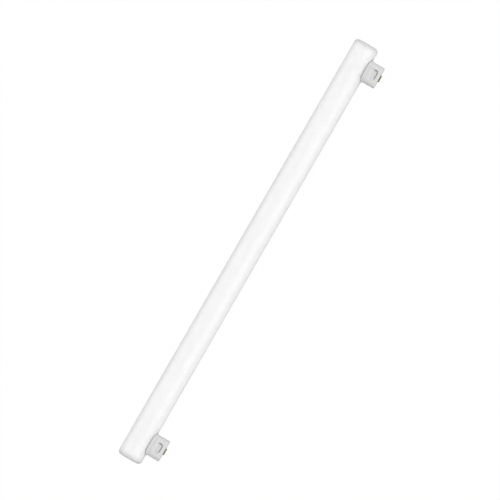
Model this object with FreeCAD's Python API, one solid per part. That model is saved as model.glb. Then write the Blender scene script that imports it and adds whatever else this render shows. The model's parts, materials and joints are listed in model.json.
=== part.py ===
"""Tubular lamp with a cap near each end that stands off the tube's side.

A closed opal tube gives the light. Each cap sits on the tube by a saddle foot, on a ring of adhesive, and points
sideways, so the lamp is pushed straight into two holders. A cap has a latch recess in both flanks, a brass
contact in its end face, and a lead wire inside that joins the contact to the tube.

Millimetres. Each cap is drawn with X along the tube, Y across it and Z out of the tube's axis, and the lamp is
then laid on its side, as it comes to rest on a table: on the tube and on one long edge of each cap.
"""

import FreeCAD
import Part

import math
import os

from FreeCAD import Vector

# Tube: blown closed at both ends
tube_length = 500.0
tube_diameter = 27.2
tube_end_radius = 3.8

# Caps: place along the tube, outline, and height over the tube's crest
cap_to_tube_end = 25.0
cap_length = 24.0
cap_width = 14.0
cap_corner_radius = 5.6
cap_height = 14.8
cap_edge_radius = 0.3
cap_wall = 1.3
cap_end_wall = 1.6

# Foot: the flange round the cap's root, flat on top a little over the tube's crest
foot_lip = 0.95
foot_height = 0.75
foot_chamfer = 0.15

# Bond: the ring of adhesive between foot and tube, which stays back from the foot's edge
bond_thickness = 0.45
bond_inset = 0.3

# Latch recess in each flank, where the holder's spring snaps in: two sloped walls, two steep ones with a groove
latch_length = 12.4
latch_height = 7.4
latch_depth = 1.8
latch_corner_radius = 2.6
latch_to_end = 7.15
end_groove_width = 1.1
side_groove_width = 1.5
groove_depth = 1.3

# Contact: a brass bar in a seat, with a flat stem through the end wall
contact_length = 7.3
contact_width = 3.4
contact_proud = 1.4
contact_edge_radius = 0.5
contact_seat_depth = 0.4
contact_clearance = 0.05
stem_length = 3.2
stem_thickness = 0.8
stem_reach = 2.6

# Lead wire between the tube and the contact's stem
wire_diameter = 0.8

# How near a point counts as lying on a surface, when edges are picked
touching = 0.001

# Worked out from the sizes above
tube_radius = tube_diameter / 2
cap_spacing = tube_length - 2 * cap_to_tube_end
saddle_radius = tube_radius + bond_thickness
foot_top = tube_radius + foot_height
cap_end = tube_radius + cap_height
cap_ceiling = cap_end - cap_end_wall
latch_middle = cap_end - latch_to_end
contact_face = cap_end + contact_proud
contact_seat = cap_end - contact_seat_depth
stem_tip = cap_ceiling - stem_reach


def rounded_rectangle(length, width, corner, height):
    """Closed wire in the plane Z = height, centred on the Z axis, with round corners."""
    half_x = length / 2
    half_y = width / 2
    corner = min(corner, 0.499 * width, 0.499 * length)
    edges = []
    for quarter, (sign_x, sign_y) in enumerate(((1, 1), (-1, 1), (-1, -1), (1, -1))):
        centre = Vector(sign_x * (half_x - corner), sign_y * (half_y - corner), height)
        points = []
        for turn in (0, 0.5, 1):
            angle = math.radians(90 * (quarter + turn))
            points.append(centre + Vector(math.cos(angle), math.sin(angle), 0) * corner)
        if edges:
            edges.append(Part.LineSegment(edges[-1].Vertexes[-1].Point, points[0]).toShape())
        edges.append(Part.Arc(*points).toShape())
    edges.append(Part.LineSegment(edges[-1].Vertexes[-1].Point, edges[0].Vertexes[0].Point).toShape())
    return Part.Wire(edges)


def block(length, width, corner, bottom, top):
    """Straight prism with round corners between two heights."""
    base = Part.Face(rounded_rectangle(length, width, corner, bottom))
    return base.extrude(Vector(0, 0, top - bottom))


def centred_box(length, width, bottom, top):
    """Box between two heights, centred on the Z axis."""
    return Part.makeBox(length, width, top - bottom, Vector(-length / 2, -width / 2, bottom))


def tube_cylinder(radius):
    """Cylinder on the tube's axis, longer than a cap."""
    length = 2 * cap_length
    return Part.makeCylinder(radius, length, Vector(-length / 2, 0, 0), Vector(1, 0, 0))


def edges_where(shape, test):
    """The edges whose every sampled point passes the test."""
    chosen = []
    for edge in shape.Edges:
        points = edge.discretize(5)
        if all(test(point) for point in points):
            chosen.append(edge)
    return chosen


def on_height(height):
    """Test for points in the plane Z = height."""
    return lambda point: abs(point.z - height) < touching


def opal_tube():
    """The closed tube: one solid of revolution with a rounded turn into each flat end."""
    half = tube_length / 2
    cylinder = Part.makeCylinder(tube_radius, tube_length, Vector(-half, 0, 0), Vector(1, 0, 0))
    rims = edges_where(cylinder, lambda point: abs(abs(point.x) - half) < touching)
    return cylinder.makeFillet(min(tube_end_radius, 0.9 * tube_radius), rims)


def cap_outline(offset, bottom, top):
    """Prism with the cap's outline between two heights, grown all round by an offset or shrunk by a negative one."""
    return block(cap_length + 2 * offset, cap_width + 2 * offset, cap_corner_radius + offset, bottom, top)


def foot():
    """Flange that sits astride the tube, with its upper rim chamfered."""
    flange = cap_outline(foot_lip, 0, foot_top)
    flange = flange.makeChamfer(foot_chamfer, edges_where(flange, on_height(foot_top)))
    return flange.cut(tube_cylinder(saddle_radius))


def bond():
    """Ring of adhesive of even thickness under the foot, open in the middle for the lead wire."""
    ring = cap_outline(foot_lip - bond_inset, 0, cap_end).common(tube_cylinder(saddle_radius))
    return ring.cut(tube_cylinder(tube_radius)).cut(cap_outline(-cap_wall, 0, cap_end))


def tower():
    """The cap's body over the foot, with a rounded edge round its end face."""
    body = cap_outline(0, 0, cap_end)
    body = body.makeFillet(cap_edge_radius, edges_where(body, on_height(cap_end)))
    return body.cut(tube_cylinder(saddle_radius))


def latch_recess(side):
    """Pocket in the flank on one side of Y. Its walls by the tube and at the -X end slope at 45 degrees, so that a
    holder's spring rides in. The other two stand steep, with a groove at their foot, and hold the spring."""
    mouth = cap_width / 2
    floor = mouth - latch_depth
    outside = mouth + latch_depth
    sloped = block(latch_length, latch_height, latch_corner_radius, floor, outside)
    sloped = sloped.makeChamfer(latch_depth, edges_where(sloped, on_height(floor)))

    length = latch_length - latch_depth
    height = latch_height - latch_depth
    steep = block(length, height, latch_corner_radius, floor - groove_depth, outside)
    inner_radius = max(latch_corner_radius - side_groove_width, touching)
    island = block(length, height, inner_radius, floor - groove_depth, floor)
    island.translate(Vector(-side_groove_width, -end_groove_width * side, 0))
    steep = steep.cut(island)
    steep.translate(Vector(latch_depth / 2, latch_depth / 2 * side, 0))

    pocket = sloped.fuse(steep)
    pocket.rotate(Vector(), Vector(1, 0, 0), 90 * side)
    pocket.translate(Vector(0, 0, latch_middle))
    return pocket


def cavity():
    """Hollow for the lead wire, open to the tube, stepped in to keep a full wall behind each recess."""
    hollow = cap_outline(-cap_wall, 0, cap_ceiling)
    neck = cap_width - 2 * (latch_depth + groove_depth + cap_wall)
    step = latch_middle - latch_height / 2 - cap_wall
    run = latch_length + 2 * cap_wall
    for side in (-1, 1):
        pad = centred_box(run, cap_width, step, cap_end)
        pad.translate(Vector(0, side * (neck + cap_width) / 2, 0))
        hollow = hollow.cut(pad)
    return hollow


def contact():
    """Brass bar, rounded along its two long edges, on a flat stem."""
    half = contact_width / 2
    bar = centred_box(contact_length, contact_width, contact_seat, contact_face)
    at_top = on_height(contact_face)
    long_edges = edges_where(bar, lambda point: at_top(point) and abs(abs(point.y) - half) < touching)
    bar = bar.makeFillet(min(contact_edge_radius, 0.9 * half), long_edges)
    stem = centred_box(stem_length, stem_thickness, stem_tip, contact_seat)
    return bar.fuse(stem).removeSplitter()


def contact_room():
    """What the cap leaves free for the contact: its seat and the slot for its stem."""
    spare = 2 * contact_clearance
    seat = centred_box(contact_length + spare, contact_width + spare, contact_seat, contact_face)
    slot = centred_box(stem_length + spare, stem_thickness + spare, stem_tip, contact_seat)
    return seat.fuse(slot)


def cap():
    """One moulded cap: foot and tower in one piece, hollow, with its recesses and the contact's seat."""
    shell = foot().fuse(tower()).removeSplitter()
    for side in (-1, 1):
        shell = shell.cut(latch_recess(side))
    return shell.cut(cavity()).cut(contact_room())


def lead_wire():
    """Straight wire from the tube's crest to the contact's stem."""
    return Part.makeCylinder(wire_diameter / 2, stem_tip - tube_radius, Vector(0, 0, tube_radius))


def lying_angle():
    """How far the caps point below level, in degrees, when the tube and a long cap edge rest on a table."""
    out = cap_end - cap_edge_radius
    across = cap_width / 2 - cap_edge_radius
    dip = math.asin((tube_radius - cap_edge_radius) / math.hypot(out, across))
    return math.degrees(dip - math.atan2(across, out))


def reach_in_front(angle):
    """Furthest point of a cap or its contact from the tube's axis, level, once the lamp lies down."""
    dip = math.radians(angle)
    corners = (
        (
            cap_end - cap_edge_radius,
            cap_width / 2 - cap_edge_radius,
            cap_edge_radius,
        ),
        (
            contact_face - contact_edge_radius,
            contact_width / 2 - contact_edge_radius,
            contact_edge_radius,
        ),
    )
    return max(out * math.cos(dip) + across * math.sin(dip) + radius for out, across, radius in corners)


def lay_down(shape):
    """Turns the lamp about its tube until it lies, and sets it on Z = 0 with its outline centred on the origin."""
    angle = lying_angle()
    laid = shape.copy()
    laid.rotate(Vector(), Vector(1, 0, 0), 90 + angle)
    laid.translate(Vector(0, (reach_in_front(angle) - tube_radius) / 2, tube_radius))
    return laid


def build():
    """Every piece of the lamp by name, lying on Z = 0."""
    pieces = {"opal_tube": opal_tube()}
    drawn = {"cap": cap(), "bond": bond(), "contact": contact(), "lead_wire": lead_wire()}
    for side, place in (("left", -cap_spacing / 2), ("right", cap_spacing / 2)):
        for name, shape in drawn.items():
            piece = shape.copy()
            piece.translate(Vector(place, 0, 0))
            pieces[side + "_" + name] = piece
    return {name: lay_down(shape) for name, shape in pieces.items()}


os.makedirs("parts", exist_ok=True)
for name, shape in build().items():
    solids = Part.makeCompound(shape.Solids)
    print(name, "solids", len(shape.Solids), "valid", shape.isValid(), "volume", round(shape.Volume, 2))
    solids.exportStep(os.path.join("parts", name + ".step"))
print("lying angle", round(lying_angle(), 3), "degrees")
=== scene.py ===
# %% [markdown]
# # A tubular lamp, from bare solids to a finished picture
#
# The lamp is a long opal tube. Near each end a plastic cap stands off its side, with a brass contact in
# it, and both push straight into two holders. The solids come from the part's own source, packed as a
# frame that this script never moves. What is added here is the finish: smooth meshes, materials, light
# and a camera.

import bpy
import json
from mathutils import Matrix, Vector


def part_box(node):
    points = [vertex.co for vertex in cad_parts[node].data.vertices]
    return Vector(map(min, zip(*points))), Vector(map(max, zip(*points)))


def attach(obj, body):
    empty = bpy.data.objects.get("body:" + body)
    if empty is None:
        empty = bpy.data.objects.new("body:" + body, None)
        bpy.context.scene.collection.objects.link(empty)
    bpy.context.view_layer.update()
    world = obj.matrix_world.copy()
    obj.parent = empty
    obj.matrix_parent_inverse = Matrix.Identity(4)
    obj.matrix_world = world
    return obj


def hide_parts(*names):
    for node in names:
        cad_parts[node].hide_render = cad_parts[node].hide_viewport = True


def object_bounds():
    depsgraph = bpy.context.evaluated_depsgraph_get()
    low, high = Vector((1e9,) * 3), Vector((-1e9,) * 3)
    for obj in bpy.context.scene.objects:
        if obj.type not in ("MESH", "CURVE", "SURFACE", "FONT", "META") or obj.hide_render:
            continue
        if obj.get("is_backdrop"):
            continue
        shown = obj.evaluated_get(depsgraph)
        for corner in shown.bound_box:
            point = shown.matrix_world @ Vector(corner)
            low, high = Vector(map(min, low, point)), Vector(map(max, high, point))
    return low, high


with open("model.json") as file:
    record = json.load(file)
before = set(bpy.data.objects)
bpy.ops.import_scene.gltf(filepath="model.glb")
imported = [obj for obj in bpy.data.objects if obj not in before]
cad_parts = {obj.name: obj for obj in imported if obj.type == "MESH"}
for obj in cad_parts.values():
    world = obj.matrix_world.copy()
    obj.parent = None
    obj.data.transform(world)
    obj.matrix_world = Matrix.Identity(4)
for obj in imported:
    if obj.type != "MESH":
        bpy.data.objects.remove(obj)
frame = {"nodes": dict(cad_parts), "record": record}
cad_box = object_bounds()
print("nodes:", ", ".join(sorted(frame["nodes"])))

# %% [markdown]
# ## Sizes that everything else follows
#
# Nothing is measured by eye here. The tube's node gives its length, its radius and where its axis runs.
# The mounts in the record give the way that the caps point, because the lamp lies on its side and they
# point a little down. Only the turn at the tube's ends can't be read from a box, so its radius is
# written out.

# %% Read the lamp's sizes from the frame
from mathutils import Vector

MM = 0.001

tube_low, tube_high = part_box("opal_tube")
tube_middle = (tube_low + tube_high) / 2
tube_length = tube_high.x - tube_low.x
tube_radius = (tube_high.y - tube_low.y) / 2
tube_end_radius = 3.8 * MM

mounts = {mount["name"]: mount for mount in frame["record"]["mounts"]}
along = Vector((1, 0, 0))
cap_way = Vector(mounts["left_cap"]["axis"]).normalized()
flank_way = along.cross(-cap_way)
print("tube", round(tube_length / MM, 2), "mm long,", round(2 * tube_radius / MM, 2), "mm across")
print("caps point", [round(value, 3) for value in cap_way])
print("the flank on show faces", [round(value, 3) for value in flank_way])

# %% [markdown]
# ## The camera
#
# A long lens far away keeps both ends of the tube the same size, as in a catalogue picture. The camera
# looks down on the flank of the caps and leans a few degrees towards their end faces, so that the
# contacts just show. It is rolled until the tube runs from the lower left to the upper right, 30
# degrees off upright. Its distance follows from how many pixels long the tube has to be.

# %% Place the camera
import math

import bpy
from mathutils import Matrix

LENS = 300
SENSOR = 36
PICTURE_SIDE = 500
PHOTO_TUBE_PIXELS = 478.0
PHOTO_TUBE_MIDDLE = (248.22, 251.53)
LEAN_TO_CAP_ENDS = math.radians(3.2)
TUBE_OFF_UPRIGHT = math.radians(29.956)
NEAREST_SEEN = 0.1
FARTHEST_SEEN = 50

to_camera = flank_way * math.cos(LEAN_TO_CAP_ENDS) + cap_way * math.sin(LEAN_TO_CAP_ENDS)
tube_way = (along - to_camera * along.dot(to_camera)).normalized()
side_way = tube_way.cross(to_camera)
picture_up = tube_way * math.cos(TUBE_OFF_UPRIGHT) - side_way * math.sin(TUBE_OFF_UPRIGHT)
picture_right = picture_up.cross(to_camera)

metres_a_pixel = tube_length * along.dot(tube_way) / PHOTO_TUBE_PIXELS
distance = metres_a_pixel * PICTURE_SIDE * LENS / SENSOR
shift_right = (PICTURE_SIDE / 2 - PHOTO_TUBE_MIDDLE[0]) * metres_a_pixel
shift_up = (PHOTO_TUBE_MIDDLE[1] - PICTURE_SIDE / 2) * metres_a_pixel
aim = tube_middle + picture_right * shift_right + picture_up * shift_up

camera_data = bpy.data.cameras.new("camera")
camera_data.lens = LENS
camera_data.sensor_width = SENSOR
camera_data.clip_start = NEAREST_SEEN
camera_data.clip_end = FARTHEST_SEEN
camera = bpy.data.objects.new("camera", camera_data)
bpy.context.scene.collection.objects.link(camera)
turn = Matrix((picture_right, picture_up, to_camera)).transposed()
camera.matrix_world = Matrix.Translation(aim + to_camera * distance) @ turn.to_4x4()
bpy.context.scene.camera = camera
degrees_up = math.degrees(math.asin(to_camera.z))
print("camera", round(distance, 2), "m away,", round(degrees_up, 1), "degrees up")

# %% [markdown]
# ## Floor and sky
#
# The background of the photograph is pure white, with only a breath of shadow. A white that bright
# can't come from light, because the lamp itself would burn out. So the floor and the world show a
# different face to each kind of ray. The camera sees plain white. Mirror rays see a white sky over a
# dark floor, which draws the rims of the tube a little darker, as black card beside a table does in a
# studio. All other rays see a modest floor and a modest sky.

# %% Choose a face by the kind of ray


def either(tree, first, second):
    """1 where either of two ray masks is 1."""
    larger = tree.nodes.new("ShaderNodeMath")
    larger.operation = "MAXIMUM"
    tree.links.new(first, larger.inputs[0])
    tree.links.new(second, larger.inputs[1])
    return larger.outputs[0]


def mixed(tree, share, first, second):
    """A share of the second shader over the first; the share is a number or a ray mask."""
    mix = tree.nodes.new("ShaderNodeMixShader")
    if isinstance(share, float):
        mix.inputs["Fac"].default_value = share
    else:
        tree.links.new(share, mix.inputs["Fac"])
    tree.links.new(first, mix.inputs[1])
    tree.links.new(second, mix.inputs[2])
    return mix.outputs[0]


# %% Lay the floor
WHITE = (1, 1, 1, 1)
FLOOR_COLOUR = (0.6, 0.6, 0.6, 1)
MIRRORED_FLOOR_COLOUR = (0.1, 0.1, 0.1, 1)
SHADOW_SHARE = 0.02
FLOOR_SIDE = 30


def matt(tree, colour):
    """A plain diffuse surface."""
    diffuse = tree.nodes.new("ShaderNodeBsdfDiffuse")
    diffuse.inputs["Color"].default_value = colour
    return diffuse.outputs[0]


def floor_material():
    """White to look at, with a faint shadow, and a pale grey in its own light."""
    material = bpy.data.materials.new("floor")
    material.use_nodes = True
    tree = material.node_tree
    tree.nodes.clear()
    path = tree.nodes.new("ShaderNodeLightPath").outputs
    white = tree.nodes.new("ShaderNodeEmission")
    white.inputs["Strength"].default_value = 1
    mirrored = either(tree, path["Is Glossy Ray"], path["Is Transmission Ray"])
    seen = mixed(tree, SHADOW_SHARE, white.outputs[0], matt(tree, WHITE))
    others = mixed(tree, mirrored, matt(tree, FLOOR_COLOUR), matt(tree, MIRRORED_FLOOR_COLOUR))
    choose = mixed(tree, path["Is Camera Ray"], others, seen)
    output = tree.nodes.new("ShaderNodeOutputMaterial")
    tree.links.new(choose, output.inputs["Surface"])
    return material


def make_floor():
    """A wide flat floor under the lamp."""
    mesh = bpy.data.meshes.new("floor")
    half = FLOOR_SIDE / 2
    corners = [(-half, -half, 0), (half, -half, 0), (half, half, 0), (-half, half, 0)]
    mesh.from_pydata(corners, [], [(0, 1, 2, 3)])
    mesh.materials.append(floor_material())
    floor = bpy.data.objects.new("floor", mesh)
    bpy.context.scene.collection.objects.link(floor)
    floor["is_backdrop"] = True


make_floor()
print("floor", FLOOR_SIDE, "m wide, white to the camera")

# %% Make the sky
SKY_STRENGTH = 0.63


def make_sky():
    """A world that is white to look at and gives an even, modest light."""
    world = bpy.data.worlds.new("sky")
    bpy.context.scene.world = world
    world.use_nodes = True
    tree = world.node_tree
    tree.nodes.clear()
    light = tree.nodes.new("ShaderNodeBackground")
    light.inputs["Strength"].default_value = SKY_STRENGTH
    white = tree.nodes.new("ShaderNodeBackground")
    white.inputs["Strength"].default_value = 1
    path = tree.nodes.new("ShaderNodeLightPath").outputs
    mirrored = either(tree, path["Is Glossy Ray"], path["Is Transmission Ray"])
    shown = either(tree, path["Is Camera Ray"], mirrored)
    output = tree.nodes.new("ShaderNodeOutputWorld")
    tree.links.new(mixed(tree, shown, light.outputs[0], white.outputs[0]), output.inputs["Surface"])


make_sky()
bpy.context.scene.view_settings.view_transform = "Standard"
print("sky white to the camera, its light", SKY_STRENGTH)

# %% [markdown]
# ## Two soft suns
#
# The opal white is so even that only the light models it. A softbox close by would light one end of
# half a metre of tube more than the other. A sun has parallel rays, so it lights both ends alike, and a
# wide angle makes it as soft as a softbox. The key sun comes from the side of the caps' end faces and
# draws their recesses, and the fill sun comes from the other side. Each direction is given in the
# lamp's own terms: along the tube, towards the caps' end faces, and out of the flank that faces the
# camera.

# %% Hang the suns
SUN_DISTANCE = 2
SUNS = {
    "key": {"along": 0.26, "caps": 0.87, "flank": 0.42, "strength": 2.12, "softness": 90},
    "fill": {"along": 0.0, "caps": -0.87, "flank": 0.5, "strength": 1.1, "softness": 60},
}


def hang_sun(name, sun):
    """A soft sun that shines on the lamp from one side."""
    source = (along * sun["along"] + cap_way * sun["caps"] + flank_way * sun["flank"]).normalized()
    data = bpy.data.lights.new(name, "SUN")
    data.energy = sun["strength"]
    data.angle = math.radians(sun["softness"])
    lamp = bpy.data.objects.new(name, data)
    bpy.context.scene.collection.objects.link(lamp)
    lamp.rotation_euler = source.to_track_quat("Z", "Y").to_euler()
    lamp.location = source * SUN_DISTANCE
    print("sun", name, "from", [round(value, 2) for value in source])


for name, sun in SUNS.items():
    hang_sun(name, sun)

# %% [markdown]
# ## Effects that several materials share
#
# No real surface is one flat number. Two small node groups bring that life to every finish: one makes a
# colour drift a little from place to place, and one gives a fine grain for the bump. They could be
# drawn again in each material, but as groups they are built once, and each material sets its own scale.

# %% Start an empty group


def new_group(name, inputs, outputs):
    """An empty shader group with named sockets, and its input and output nodes."""
    group = bpy.data.node_groups.new(name, "ShaderNodeTree")
    for socket, kind in inputs:
        group.interface.new_socket(socket, in_out="INPUT", socket_type=kind)
    for socket, kind in outputs:
        group.interface.new_socket(socket, in_out="OUTPUT", socket_type=kind)
    return group, group.nodes.new("NodeGroupInput"), group.nodes.new("NodeGroupOutput")


# %% [markdown]
# ### Colour drift
#
# Moulded and blown surfaces are never one colour: they vary in soft patches with finer specks in them.
# A noise with some detail gives both at once, and its middle range is spread out to a full mask. The same
# mask also goes out of the group, so that a material can let its gloss drift along with its colour.

# %% Build the colour drift
DRIFT_DETAIL = 5
DRIFT_ROUGHNESS = 0.62
DRIFT_RANGE = (0.3, 0.7)


def drift_group():
    """A colour that drifts between two tints in soft patches with finer specks in them."""
    group, given, result = new_group(
        "colour_drift",
        [
            ("Vector", "NodeSocketVector"),
            ("Colour A", "NodeSocketColor"),
            ("Colour B", "NodeSocketColor"),
            ("Scale", "NodeSocketFloat"),
        ],
        [("Colour", "NodeSocketColor"), ("Mask", "NodeSocketFloat")],
    )
    noise = group.nodes.new("ShaderNodeTexNoise")
    noise.inputs["Detail"].default_value = DRIFT_DETAIL
    noise.inputs["Roughness"].default_value = DRIFT_ROUGHNESS
    spread = group.nodes.new("ShaderNodeMapRange")
    spread.inputs["From Min"].default_value = DRIFT_RANGE[0]
    spread.inputs["From Max"].default_value = DRIFT_RANGE[1]
    mix = group.nodes.new("ShaderNodeMix")
    mix.data_type = "RGBA"
    links = group.links
    links.new(given.outputs["Vector"], noise.inputs["Vector"])
    links.new(given.outputs["Scale"], noise.inputs["Scale"])
    links.new(noise.outputs["Fac"], spread.inputs["Value"])
    links.new(spread.outputs["Result"], mix.inputs["Factor"])
    links.new(given.outputs["Colour A"], mix.inputs["A"])
    links.new(given.outputs["Colour B"], mix.inputs["B"])
    links.new(mix.outputs["Result"], result.inputs["Colour"])
    links.new(spread.outputs["Result"], result.inputs["Mask"])
    return group


drift = drift_group()
print("shader group", drift.name)

# %% [markdown]
# ### Surface grain
#
# A close look shows two kinds of unevenness: a fine grain, and a slow swell under it that bends what the
# surface mirrors. Two noises of different scale give them, and each material chooses the share of the
# swell. They only move the bump, because both are far too shallow to change the outline.

# %% Build the surface grain
GRAIN_DETAIL = 3
SWELL_DETAIL = 1


def grain_group():
    """Height of a fine grain on top of a slower swell."""
    group, given, result = new_group(
        "surface_grain",
        [
            ("Vector", "NodeSocketVector"),
            ("Grain Scale", "NodeSocketFloat"),
            ("Swell Scale", "NodeSocketFloat"),
            ("Swell Share", "NodeSocketFloat"),
        ],
        [("Height", "NodeSocketFloat")],
    )
    grain = group.nodes.new("ShaderNodeTexNoise")
    grain.inputs["Detail"].default_value = GRAIN_DETAIL
    swell = group.nodes.new("ShaderNodeTexNoise")
    swell.inputs["Detail"].default_value = SWELL_DETAIL
    mix = group.nodes.new("ShaderNodeMix")
    mix.data_type = "FLOAT"
    links = group.links
    for noise, scale in ((grain, "Grain Scale"), (swell, "Swell Scale")):
        links.new(given.outputs["Vector"], noise.inputs["Vector"])
        links.new(given.outputs[scale], noise.inputs["Scale"])
    links.new(given.outputs["Swell Share"], mix.inputs["Factor"])
    links.new(grain.outputs["Fac"], mix.inputs["A"])
    links.new(swell.outputs["Fac"], mix.inputs["B"])
    links.new(mix.outputs["Result"], result.inputs["Height"])
    return group


grain = grain_group()
print("shader group", grain.name)

# %% [markdown]
# ## Materials
#
# Every material follows the same recipe, so one function lays it out: object coordinates feed the two
# groups, the drift feeds the colour and the roughness, and the grain feeds a bump. What makes it opal,
# plastic or brass are the plain numbers on the shader's own sockets.

# %% Write the recipe for a material


def place_group(tree, group, vector, values):
    """Puts a shader group in a material, with its own values."""
    node = tree.nodes.new("ShaderNodeGroup")
    node.node_tree = group
    tree.links.new(vector, node.inputs["Vector"])
    for socket, value in values.items():
        node.inputs[socket].default_value = value
    return node


def finish_material(
    name,
    colours,
    drift_scale,
    roughness,
    grain_scale,
    grain_depth,
    swell_scale=30,
    swell_share=0.2,
    stretch=(1, 1, 1),
    **sockets,
):
    """A material whose colour and roughness drift, with a grain in its surface."""
    material = bpy.data.materials.new(name)
    material.use_nodes = True
    tree = material.node_tree
    shader = tree.nodes["Principled BSDF"]
    place = tree.nodes.new("ShaderNodeTexCoord")
    mapping = tree.nodes.new("ShaderNodeMapping")
    mapping.inputs["Scale"].default_value = stretch
    tree.links.new(place.outputs["Object"], mapping.inputs["Vector"])
    vector = mapping.outputs["Vector"]
    tint = place_group(
        tree,
        drift,
        vector,
        {"Colour A": colours[0], "Colour B": colours[1], "Scale": drift_scale},
    )
    tree.links.new(tint.outputs["Colour"], shader.inputs["Base Color"])
    gloss = tree.nodes.new("ShaderNodeMapRange")
    gloss.inputs["To Min"].default_value = roughness[0]
    gloss.inputs["To Max"].default_value = roughness[1]
    tree.links.new(tint.outputs["Mask"], gloss.inputs["Value"])
    tree.links.new(gloss.outputs["Result"], shader.inputs["Roughness"])
    height = place_group(
        tree,
        grain,
        vector,
        {"Grain Scale": grain_scale, "Swell Scale": swell_scale, "Swell Share": swell_share},
    )
    bump = tree.nodes.new("ShaderNodeBump")
    bump.inputs["Strength"].default_value = 1
    bump.inputs["Distance"].default_value = grain_depth
    tree.links.new(height.outputs["Height"], bump.inputs["Height"])
    tree.links.new(bump.outputs["Normal"], shader.inputs["Normal"])
    for socket, value in sockets.items():
        shader.inputs[socket.replace("_", " ")].default_value = value
    print("material", name)
    return material


# %% [markdown]
# ### Opal tube
#
# Opal glass is milky all through: light goes in, wanders about and comes out somewhere else, so the
# tube looks evenly white right round. A plain white paint would turn grey towards its sides. Subsurface
# scattering lets the light wander, and a fairly low roughness keeps a soft sheen on top.

# %% Opal
opal = finish_material(
    "opal",
    colours=((0.928, 0.928, 0.928, 1), (0.914, 0.914, 0.914, 1)),
    drift_scale=90,
    roughness=(0.32, 0.4),
    grain_scale=1400,
    grain_depth=0.01 * MM,
    swell_scale=25,
    swell_share=0.5,
    Subsurface_Weight=1.0,
    Subsurface_Radius=(1.0, 1.0, 1.0),
    Subsurface_Scale=0.013,
    IOR=1.5,
)


# %% [markdown]
# ### Painted shade at the ends
#
# Towards both ends less light comes back out of the tube, and the photograph shows it greyer there. That
# grey is painted shade in the opal's colour. A separate material for the ends would show a hard seam. So
# the opal mixes in a painted grey shade by how far a point is from the tube's middle, which the X of its
# object coordinates gives.

# %% Paint shade on the ends
# The end grey is painted shade, standing in for the light that the tube's ends lose.
PAINTED_END_SHADE = (0.3, 0.3, 0.3, 1)
END_SHADE_LENGTH = 8.5 * MM
END_SHADE_DEPTH = 0.44


def paint_end_shade(material, length, depth):
    """Paints shade into a tube's colour towards both of its ends."""
    tree = material.node_tree
    colour = tree.nodes["Principled BSDF"].inputs["Base Color"]
    tint = colour.links[0].from_socket
    place = tree.nodes.new("ShaderNodeTexCoord")
    parts = tree.nodes.new("ShaderNodeSeparateXYZ")
    tree.links.new(place.outputs["Object"], parts.inputs["Vector"])
    from_middle = tree.nodes.new("ShaderNodeMath")
    from_middle.operation = "ABSOLUTE"
    tree.links.new(parts.outputs["X"], from_middle.inputs[0])
    near = tree.nodes.new("ShaderNodeMapRange")
    near.interpolation_type = "SMOOTHSTEP"
    near.inputs["From Min"].default_value = tube_length / 2 - length
    near.inputs["From Max"].default_value = tube_length / 2
    near.inputs["To Max"].default_value = depth
    tree.links.new(from_middle.outputs[0], near.inputs["Value"])
    mix = tree.nodes.new("ShaderNodeMix")
    mix.data_type = "RGBA"
    tree.links.new(near.outputs["Result"], mix.inputs["Factor"])
    tree.links.new(tint, mix.inputs["A"])
    # B is the painted end shade.
    mix.inputs["B"].default_value = PAINTED_END_SHADE
    tree.links.new(mix.outputs["Result"], colour)


paint_end_shade(opal, END_SHADE_LENGTH, END_SHADE_DEPTH)
print("grey over the last", round(END_SHADE_LENGTH / MM, 1), "mm at both ends")

# %% [markdown]
# ### Plastic, adhesive, brass and copper
#
# The caps are moulded in a fine matt plastic, a little greyer than the tube. A thin ring of set
# adhesive shows as a seam between each cap and the tube; its dark colour is partly painted shade that
# darkens the seam where the gap's shadow falls. The contacts are a dark brass, with marks that run along
# the tube, so their pattern is stretched that way. The copper of the lead wires is inside and only shows
# in a cut.

# %% Moulded plastic, adhesive, brass and copper
plastic = finish_material(
    "cap_plastic",
    colours=((0.757, 0.757, 0.757, 1), (0.725, 0.725, 0.723, 1)),
    drift_scale=260,
    roughness=(0.42, 0.55),
    grain_scale=4200,
    grain_depth=0.03 * MM,
    IOR=1.5,
)
# The adhesive is real, but its dark colour is partly painted shade for the seam between cap and tube.
adhesive_and_seam_shade = finish_material(
    "set_adhesive_and_seam_shade",
    colours=((0.2, 0.195, 0.185, 1), (0.14, 0.137, 0.13, 1)),
    drift_scale=600,
    roughness=(0.5, 0.7),
    grain_scale=2500,
    grain_depth=0.04 * MM,
)
# The contacts' brass is given a dark tone.
brass = finish_material(
    "contact_brass",
    colours=((0.3, 0.265, 0.125, 1), (0.12, 0.105, 0.055, 1)),
    drift_scale=500,
    roughness=(0.3, 0.5),
    grain_scale=5000,
    grain_depth=0.01 * MM,
    stretch=(0.15, 1, 1),
    Metallic=1.0,
)
copper = finish_material(
    "lead_copper",
    colours=((0.66, 0.33, 0.2, 1), (0.4, 0.2, 0.13, 1)),
    drift_scale=400,
    roughness=(0.25, 0.4),
    grain_scale=3000,
    grain_depth=0.01 * MM,
    Metallic=1.0,
)

# %% [markdown]
# ## The tube, turned by Geometry Nodes
#
# A tube with rounded ends is a shape with a rule: one outline, turned round an axis. On a lathe the
# outline is the template. A cylinder with bevelled rims would give the shape too, but not how fine its
# rings are. Here a tree draws the outline and wraps a grid round the axis, row by row along that outline.
#
# Each node takes three steps: make it, set its options, and link or set its inputs. A small class does
# all three in one call, so that the tree reads like a recipe.

# %% Write nodes with one call each


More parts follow.
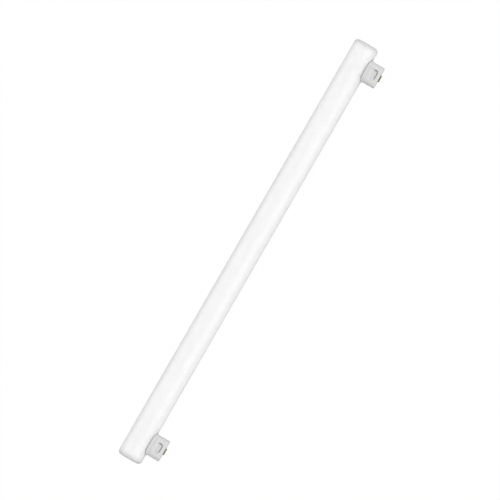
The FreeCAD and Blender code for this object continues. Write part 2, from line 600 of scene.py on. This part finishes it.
class TreeBuilder:
    """Adds nodes to a geometry tree and wires them as it goes."""

    def __init__(self, tree):
        self.tree = tree

    def add(self, kind, settings=None, **inputs):
        """One node: settings are its options, and an input is a value or another node's output."""
        node = self.tree.nodes.new(kind)
        for option, value in (settings or {}).items():
            setattr(node, option, value)
        for name, value in inputs.items():
            self.feed(self.socket(node, name), value)
        return node

    def socket(self, node, name):
        """An input by its name with spaces, or by its number written as _0, _1 and so on."""
        if name[0] == "_":
            return node.inputs[int(name[1:])]
        return node.inputs[name.replace("_", " ")]

    def feed(self, socket, value):
        """Links an output to the input, or sets the input's value."""
        if isinstance(value, bpy.types.NodeSocket):
            self.tree.links.new(value, socket)
        else:
            socket.default_value = value

    def calc(self, operation, first, second=0.0):
        """The result of one Math node."""
        return self.add("ShaderNodeMath", {"operation": operation}, _0=first, _1=second).outputs[0]

    def index(self):
        """The number of each point."""
        return self.add("GeometryNodeInputIndex").outputs[0]

    def position(self):
        """The place of each point."""
        return self.add("GeometryNodeInputPosition").outputs[0]


# %% [markdown]
# ### The outline
#
# Half of the tube's section is enough, because turning it gives the rest. It could be a fixed list of
# points, but then a new length would need new points. So four points take their places from the tree's
# inputs: on the axis, on the rim, on the rim again and back on the axis. The two on the rim are rounded,
# and long stretches get extra points, so that no ring is too wide and shading stays even.

# %% Draw the outline
OUTLINE_CORNERS = 4


def rounded_outline(build, given):
    """Half the tube's section as a curve in the XZ plane."""
    index = build.index()
    corners = build.add("GeometryNodeMeshLine", Count=OUTLINE_CORNERS)
    middle = (OUTLINE_CORNERS - 1) / 2
    right_half = build.calc("SUBTRACT", build.calc("GREATER_THAN", index, middle), 0.5)
    from_middle = build.calc("ABSOLUTE", build.calc("SUBTRACT", index, middle))
    on_rim = build.calc("LESS_THAN", from_middle, 1.0)
    corner = build.add(
        "ShaderNodeCombineXYZ",
        X=build.calc("MULTIPLY", right_half, given["Length"]),
        Z=build.calc("MULTIPLY", on_rim, given["Radius"]),
    )
    placed = build.add(
        "GeometryNodeSetPosition",
        Geometry=corners.outputs[0],
        Position=corner.outputs[0],
    )
    line = build.add("GeometryNodeMeshToCurve", Mesh=placed.outputs[0])
    rounded = build.add(
        "GeometryNodeFilletCurve",
        {"mode": "POLY"},
        Curve=line.outputs[0],
        Radius=given["End Radius"],
        Count=given["Arc Steps"],
    )
    return rounded.outputs[0]


def cut_long_stretches(build, curve, widest):
    """The same curve, with extra points wherever two are further apart than the widest ring."""
    position = build.position()
    following = build.add(
        "GeometryNodeFieldAtIndex",
        {"data_type": "FLOAT_VECTOR"},
        Index=build.calc("ADD", build.index(), 1.0),
        Value=position,
    )
    gap = build.add(
        "ShaderNodeVectorMath",
        {"operation": "DISTANCE"},
        _0=position,
        _1=following.outputs[0],
    )
    cuts = build.calc("FLOOR", build.calc("DIVIDE", gap.outputs["Value"], widest))
    return build.add("GeometryNodeSubdivideCurve", Curve=curve, Cuts=cuts).outputs[0]


# %% [markdown]
# ### Round the axis
#
# Each row of a flat grid takes one point of the outline, and each column takes one angle. The last column
# lands on the first, and the rows on the axis shrink to a point. Merging the points that meet closes the
# seam and both poles.

# %% Wrap a grid round the axis
SAME_POINT = 0.001 * MM


def turned_grid(build, outline, steps_around):
    """A closed mesh round the X axis, from an outline in the XZ plane."""
    index = build.index()
    count = build.add("GeometryNodeAttributeDomainSize", {"component": "CURVE"}, Geometry=outline)
    points = count.outputs["Point Count"]
    columns = build.calc("ADD", steps_around, 1.0)
    grid = build.add("GeometryNodeMeshGrid", Vertices_X=points, Vertices_Y=columns)
    row = build.calc("FLOOR", build.calc("DIVIDE", build.calc("ADD", index, 0.5), columns))
    column = build.calc("SUBTRACT", index, build.calc("MULTIPLY", row, columns))
    point = build.add(
        "GeometryNodeSampleIndex",
        {"data_type": "FLOAT_VECTOR", "domain": "POINT"},
        Geometry=outline,
        Value=build.position(),
        Index=row,
    )
    parts = build.add("ShaderNodeSeparateXYZ", Vector=point.outputs[0])
    angle = build.calc("MULTIPLY", build.calc("DIVIDE", column, steps_around), math.tau)
    wrapped = build.add(
        "ShaderNodeCombineXYZ",
        X=parts.outputs["X"],
        Y=build.calc("MULTIPLY", parts.outputs["Z"], build.calc("SINE", angle)),
        Z=build.calc("MULTIPLY", parts.outputs["Z"], build.calc("COSINE", angle)),
    )
    turned = build.add(
        "GeometryNodeSetPosition",
        Geometry=grid.outputs["Mesh"],
        Position=wrapped.outputs[0],
    )
    closed = build.add("GeometryNodeMergeByDistance", Geometry=turned.outputs[0], Distance=SAME_POINT)
    return closed.outputs[0]


# %% [markdown]
# ### The whole lathe
#
# The tree's inputs are named after the tube's own sizes. After the outline and the grid it only shades
# the mesh smooth, moves it onto the lamp's axis, makes it real for the export and gives it its material.

# %% Put the lathe together


def lathe_tree():
    """A tree that turns a tube with rounded ends round the X axis."""
    tree = bpy.data.node_groups.new("lathe", "GeometryNodeTree")
    for name, kind in (
        ("Geometry", "NodeSocketGeometry"),
        ("Length", "NodeSocketFloat"),
        ("Radius", "NodeSocketFloat"),
        ("End Radius", "NodeSocketFloat"),
        ("Widest Ring", "NodeSocketFloat"),
        ("Arc Steps", "NodeSocketInt"),
        ("Steps Around", "NodeSocketInt"),
        ("Axis Middle", "NodeSocketVector"),
        ("Material", "NodeSocketMaterial"),
    ):
        tree.interface.new_socket(name, in_out="INPUT", socket_type=kind)
    tree.interface.new_socket("Geometry", in_out="OUTPUT", socket_type="NodeSocketGeometry")
    build = TreeBuilder(tree)
    given = build.add("NodeGroupInput").outputs
    outline = cut_long_stretches(build, rounded_outline(build, given), given["Widest Ring"])
    closed = turned_grid(build, outline, given["Steps Around"])
    smooth = build.add("GeometryNodeSetShadeSmooth", Geometry=closed)
    moved = build.add(
        "GeometryNodeTransform",
        Geometry=smooth.outputs[0],
        Translation=given["Axis Middle"],
    )
    real = build.add("GeometryNodeRealizeInstances", Geometry=moved.outputs[0])
    painted = build.add(
        "GeometryNodeSetMaterial",
        Geometry=real.outputs[0],
        Material=given["Material"],
    )
    build.add("NodeGroupOutput", Geometry=painted.outputs[0])
    return tree


lathe = lathe_tree()
print("lathe tree with", len(lathe.nodes), "nodes")

# %% [markdown]
# ### From the tree to a plain mesh
#
# The export needs a plain mesh, so the tree runs once on an empty host and its result is kept. A grid
# that is wrapped round an axis can end up inside out, so its faces are turned outwards afterwards. The
# print shows that the tube is closed, with no open edge, and how much room it takes.

# %% Turn the tube
import bmesh

CUBIC_CM = 1e-6


def from_tree(name, tree, values):
    """A plain mesh object made by a geometry tree, with its inputs set by name."""
    host = bpy.data.objects.new(name + "_host", bpy.data.meshes.new(name + "_host"))
    bpy.context.scene.collection.objects.link(host)
    modifier = host.modifiers.new("tree", "NODES")
    modifier.node_group = tree
    for item in tree.interface.items_tree:
        if item.in_out == "INPUT" and item.name in values:
            modifier[item.identifier] = values[item.name]
    evaluated = host.evaluated_get(bpy.context.evaluated_depsgraph_get())
    mesh = bpy.data.meshes.new_from_object(evaluated)
    mesh.name = name
    bpy.data.objects.remove(host)
    piece = bpy.data.objects.new(name, mesh)
    bpy.context.scene.collection.objects.link(piece)
    return piece


def point_outwards(mesh):
    """Turns every face of a closed mesh outwards."""
    work = bmesh.new()
    work.from_mesh(mesh)
    bmesh.ops.recalc_face_normals(work, faces=work.faces)
    open_edges = sum(1 for edge in work.edges if len(edge.link_faces) != 2)
    work.to_mesh(mesh)
    volume = work.calc_volume(signed=True)
    work.free()
    print(mesh.name, len(mesh.polygons), "faces,", open_edges, "open edges")
    print(mesh.name, round(volume / CUBIC_CM, 2), "cm3")


tube = from_tree(
    "opal_tube_glass",
    lathe,
    {
        "Length": tube_length,
        "Radius": tube_radius,
        "End Radius": tube_end_radius,
        "Widest Ring": 8 * MM,
        "Arc Steps": 14,
        "Steps Around": 128,
        "Axis Middle": tube_middle,
        "Material": opal,
    },
)
point_outwards(tube.data)
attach(tube, "root")
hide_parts("opal_tube")

# %% [markdown]
# ## Caps and contacts
#
# The caps and the contacts have their right shape already, so drawing them again would only bring
# mistakes. But they are loose triangles that would show every facet. A copy is welded and loses the
# normals that came with the loose triangles, which would smear light across its edges. Then it is
# shaded smooth across gentle bends and kept crisp at real edges, with normals that lean to the larger
# faces so that flat flanks stay flat.

# %% Dress the moulded and the metal pieces
SIDES = ("left", "right")
WELD_GAP = 0.002 * MM
CRISP_ANGLE = math.radians(28)


def smooth_copy(node, name, material):
    """A welded and smoothly shaded copy of a node's mesh that stands for the node."""
    mesh = frame["nodes"][node].data.copy()
    mesh.name = name
    work = bmesh.new()
    work.from_mesh(mesh)
    bmesh.ops.remove_doubles(work, verts=work.verts, dist=WELD_GAP)
    work.to_mesh(mesh)
    work.free()
    imported_normals = mesh.attributes.get("custom_normal")
    if imported_normals:
        mesh.attributes.remove(imported_normals)
    mesh.materials.clear()
    mesh.materials.append(material)
    mesh.polygons.foreach_set("use_smooth", [True] * len(mesh.polygons))
    mesh.set_sharp_from_angle(angle=CRISP_ANGLE)
    piece = bpy.data.objects.new(name, mesh)
    bpy.context.scene.collection.objects.link(piece)
    weighted = piece.modifiers.new("even_normals", "WEIGHTED_NORMAL")
    weighted.mode = "FACE_AREA"
    weighted.keep_sharp = True
    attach(piece, "root")
    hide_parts(node)
    print(name, len(mesh.polygons), "faces")
    return piece


for side in SIDES:
    smooth_copy(side + "_cap", side + "_cap_moulding", plastic)
    smooth_copy(side + "_bond", side + "_adhesive_ring", adhesive_and_seam_shade)
    smooth_copy(side + "_contact", side + "_contact_bar", brass)
    smooth_copy(side + "_lead_wire", side + "_lead", copper)

# %% [markdown]
# ## The two boxes
#
# The dressed lamp is meant to keep the size of its solids. So the box round the bare solids, taken at
# the start, and the box round the dressed lamp are printed side by side.

# %% Print the two boxes
import json

dressed_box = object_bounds()
boxes = {"cad": [list(corner) for corner in cad_box], "dressed": [list(corner) for corner in dressed_box]}
for name, box in boxes.items():
    print(name, "box in mm:", [[round(value / MM, 2) for value in corner] for corner in box])
